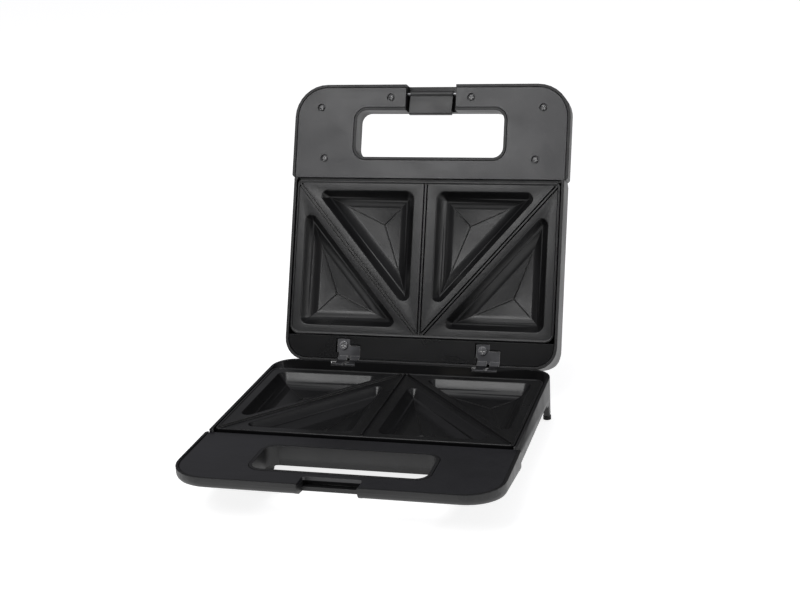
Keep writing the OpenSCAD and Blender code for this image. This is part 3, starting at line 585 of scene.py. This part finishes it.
def cast_plate(name, node, body, place, divider, operation):
    plate = new_object(name, slab)
    combine(plate, walls_and_posts, "UNION")
    combine(plate, pockets_and_bores, "DIFFERENCE")
    for ends in dividers:
        combine(plate, lambda bm: divider(bm, ends), operation)
    bm = bmesh.new()
    bm.from_mesh(plate.data)
    for pocket in pockets:
        crease(bm, pocket)
    bm.to_mesh(plate.data)
    bm.free()
    dress(plate, place, "nonstick", body, node, SHARP_PLATE)


cast_plate("upper_plate_cast", "upper_plate", "lid", IN_LID, groove_pair, "DIFFERENCE")
cast_plate("lower_plate_cast", "lower_plate", "base", IN_BASE, rib, "UNION")


# ---------- base casing, its handle section tapered towards the front ----------

HANDLE_HW, FRONT_Y, STEP_Y = 115, -171.5, -94.2
HANDLE_R, REAR_R, HANDLE_ARC = 27, 0.5, 12
NOSE_DEPTH, ROOT_DEPTH, EDGE_R, EDGE_STEPS = 10.6, 18.9, 6.0, 8
SLOT_HW, SLOT_Y0, SLOT_Y1, SLOT_R, SLOT_ARC = 64.2, -152.9, -109.0, 11, 8
NOTCH_HW, NOTCH_D, NOTCH_CLEAR = 20.8, 10.4, 8
# The envelope keeps what lies inside it: loose round the sides, exact along the rolled lower edge.
ENVELOPE_INSET, ENVELOPE_TOP, ENVELOPE_TURN, ENVELOPE_BACK, EDGE_CLEAR = -0.6, -30, 3, 70, 0.5
REAR_HW, REAR_Y, REAR_Z0, REAR_Z1, REAR_OVERLAP = 130, 90, -20, 60, 0.3
# The thin floor lies a gap inside the outer skin and stays clear of the step and the openings.
SKIN_INSET, SKIN_T, SKIN_GAP, SKIN_TURN, SKIN_CLEAR = 1.0, 3.2, 0.15, 31.3, 1.1
THROUGH = (-10, 40)


def tapered(bm, stations, back):
    """Shell of the handle's outline, its heights measured from the sloping underside."""
    rings = []
    for inset, z in stations:
        box = rectangle(-HANDLE_HW + inset, HANDLE_HW - inset, FRONT_Y + inset, back)
        radius = HANDLE_R - inset
        rings.append((ring(box, [radius, radius, REAR_R, REAR_R], HANDLE_ARC), z))
    loft(bm, rings)
    for v in bm.verts:
        v.co.z += NOSE_DEPTH + (ROOT_DEPTH - NOSE_DEPTH) * (v.co.y - FRONT_Y) / (STEP_Y - FRONT_Y)


def rolled_edge(gap, first):
    """Stations of the rolled lower edge, a gap inside the outer skin, from an angle in degrees."""
    r = EDGE_R - gap
    turns = [math.radians(first + (90 - first) * i / EDGE_STEPS) for i in range(EDGE_STEPS + 1)]
    return [(EDGE_R - r * math.cos(a), -EDGE_R + r * math.sin(a)) for a in turns]


def envelope(bm):
    sides = [(ENVELOPE_INSET, ENVELOPE_TOP), (ENVELOPE_INSET, -EDGE_R - EDGE_CLEAR)]
    tapered(bm, sides + rolled_edge(0, ENVELOPE_TURN), ENVELOPE_BACK)


def behind_handle(bm):
    prism(bm, rectangle(-REAR_HW, REAR_HW, STEP_Y - REAR_OVERLAP, REAR_Y), REAR_Z0, REAR_Z1)


def sloping_floor(bm):
    tapered(bm, [(SKIN_INSET, -SKIN_T)] + rolled_edge(SKIN_GAP, SKIN_TURN), STEP_Y - SKIN_CLEAR)


def floor_openings(bm):
    g = SKIN_CLEAR
    slot = rectangle(-SLOT_HW - g, SLOT_HW + g, SLOT_Y0 - g, SLOT_Y1 + g)
    prism(bm, ring(slot, [SLOT_R + g] * 4, SLOT_ARC), *THROUGH)
    half = NOTCH_HW + g
    prism(bm, rectangle(-half, half, FRONT_Y - NOTCH_CLEAR, FRONT_Y + NOTCH_D + g), *THROUGH)


def plain_casing(bm):
    """A copy of the base casing's own mesh, back in its half's millimetres."""
    bm.from_mesh(frame["nodes"]["base_casing"].data)
    bm.transform(IN_BASE.inverted())


shell = new_object("base_casing_tapered", plain_casing)
limits = new_object("limits", envelope)
combine(limits, behind_handle, "UNION")
combine(shell, limits, "INTERSECT")
thin_floor = new_object("thin_floor", sloping_floor)
combine(thin_floor, floor_openings, "DIFFERENCE")
combine(shell, thin_floor, "UNION")
dress(shell, IN_BASE, "casing", "base", "base_casing", SHARP)


# ---------- cover screws: pan heads with a cross recess ----------

SCREW_SPOTS = [(33.6, FRONT_Y + 10.7), (92.9, FRONT_Y + 19.2), (88.1, STEP_Y - 15.9)]
SCREW_SPOTS += [(-x, y) for x, y in SCREW_SPOTS]
HEAD_PROFILE = ((2.2, 3.9), (2.4, 3.5), (2.4, 3.1), (2.15, 2.75), (1.6, 2.56), (0.8, 2.46))
SHANK_R, SHANK_Z0, SHANK_Z1 = 1.4, 3.4, 11.4
RECESS_REACH, RECESS_W, RECESS_Z0, RECESS_Z1 = 1.55, 0.8, 2.2, 3.2
FIRST_TURN = 0.5                # radians; each screw stands one radian further on


def recess(bm, spot, reach):
    bar(bm, spot - reach, spot + reach, 0, RECESS_W, RECESS_Z0, RECESS_Z1)


for number, (x, y) in enumerate(SCREW_SPOTS, 1):
    spot = Vector((x, y))
    head = [(circle(x, y, r), z) for r, z in HEAD_PROFILE]
    screw = new_object("cover_screw_%d_cross" % number, lambda bm: loft(bm, head))
    shank = circle(*spot, SHANK_R)
    combine(screw, lambda bm: prism(bm, shank, SHANK_Z0, SHANK_Z1), "UNION")
    turn = FIRST_TURN + number
    reach = Vector((math.cos(turn), math.sin(turn))) * RECESS_REACH
    combine(screw, lambda bm: recess(bm, spot, reach), "DIFFERENCE")
    combine(screw, lambda bm: recess(bm, spot, Vector((-reach.y, reach.x))), "DIFFERENCE")
    dress(screw, IN_LID, "dark_screw", "lid", "cover_screw_%d" % number, SHARP)


# ---------- floor, light, camera ----------

FLOOR_SIZE, FLOOR_Z = 24, -0.0002
PAINT, GLOW = 0.62, 0.82
SKY_LOW, SKY_HIGH, SKY_STRENGTH = (0.10, 0.10, 0.105, 1), (0.40, 0.40, 0.42, 1), 0.75
WHITE = (1, 1, 1, 1)
LAMPS = (  # name, place, aim, width, height, power
    ("key", (-0.5, -1.35, 2.1), (0, 0.05, 0.12), 1.3, 0.7, 17),
    ("fill", (1.9, -0.4, 0.9), (0, 0, 0.08), 0.6, 0.8, 7),
    ("front", (-0.33, -0.98, 0.88), (0, 0.13, 0.17), 0.42, 0.26, 2.5),
    ("top", (-0.2, -0.2, 2.2), (0, 0, 0.0), 1.2, 0.8, 5),
)
CAMERA_PLACE = (0.2887, -0.9964, 0.4372)
CAMERA_TURN, CAMERA_TILT, CAMERA_ROLL = (math.radians(a) for a in (15.72, 17.54, -2.94))
LENS_MM, SENSOR_MM = 65.885, 36

scene = bpy.context.scene


def white_floor(net):
    """Matt paint that takes shadows, and glows only to the eye, in mirrors and through lenses."""
    path = net.add("ShaderNodeLightPath").outputs
    seen = net.math("MAXIMUM", path["Is Camera Ray"], path["Is Glossy Ray"])
    seen = net.math("MAXIMUM", seen, path["Is Transmission Ray"])
    paint = net.add("ShaderNodeBsdfDiffuse", Color=(PAINT, PAINT, PAINT, 1))
    lift = net.add("ShaderNodeEmission", Color=WHITE, Strength=net.math("MULTIPLY", seen, GLOW))
    both = net.add("ShaderNodeAddShader")
    net.put(both.inputs[0], paint.outputs[0])
    net.put(both.inputs[1], lift.outputs[0])
    return both


half = FLOOR_SIZE / 2
mesh = bpy.data.meshes.new("floor")
corners = [(x, y, FLOOR_Z) for x, y in rectangle(-half, half, -half, half)]
mesh.from_pydata(corners, [], [(0, 1, 2, 3)])
floor = bpy.data.objects.new("floor", mesh)
scene.collection.objects.link(floor)
mesh.materials.append(material("floor_white", white_floor))

scene.world = bpy.data.worlds.new("studio")
scene.world.use_nodes = True
net = Net(scene.world.node_tree)
up = net.add("ShaderNodeSeparateXYZ")
net.put(up.inputs[0], net.add("ShaderNodeTexCoord").outputs["Generated"])
camera_ray = net.add("ShaderNodeLightPath").outputs["Is Camera Ray"]
gradient = net.mix(net.span(up.outputs["Z"], (-0.1, 0.9)), SKY_LOW, SKY_HIGH)
sky = net.add("ShaderNodeBackground", Color=net.mix(camera_ray, gradient, WHITE),
              Strength=net.span(camera_ray, (0, 1), (SKY_STRENGTH, 1.0)))
net.put(net.add("ShaderNodeOutputWorld").inputs["Surface"], sky.outputs[0])

for name, place, aim, width, height, power in LAMPS:
    light = bpy.data.lights.new(name, "AREA")
    light.shape, light.size, light.size_y, light.energy = "RECTANGLE", width, height, power
    lamp = bpy.data.objects.new(name, light)
    scene.collection.objects.link(lamp)
    lamp.location = place
    lamp.rotation_euler = (Vector(aim) - Vector(place)).to_track_quat("-Z", "Y").to_euler()

sin_turn, cos_turn = math.sin(CAMERA_TURN), math.cos(CAMERA_TURN)
sin_tilt, cos_tilt = math.sin(CAMERA_TILT), math.cos(CAMERA_TILT)
sin_roll, cos_roll = math.sin(CAMERA_ROLL), math.cos(CAMERA_ROLL)
forward = Vector((-sin_turn * cos_tilt, cos_turn * cos_tilt, -sin_tilt))
right = Vector((cos_turn, sin_turn, 0))
down = forward.cross(right)
axes = (cos_roll * right - sin_roll * down, -(sin_roll * right + cos_roll * down), -forward)
view = bpy.data.cameras.new("view")
view.sensor_fit, view.sensor_width, view.lens = "HORIZONTAL", SENSOR_MM, LENS_MM
camera = bpy.data.objects.new("view", view)
scene.collection.objects.link(camera)
camera.matrix_world = Matrix.Translation(CAMERA_PLACE) @ Matrix(axes).transposed().to_4x4()
scene.camera = camera
scene.view_settings.view_transform = "Standard"
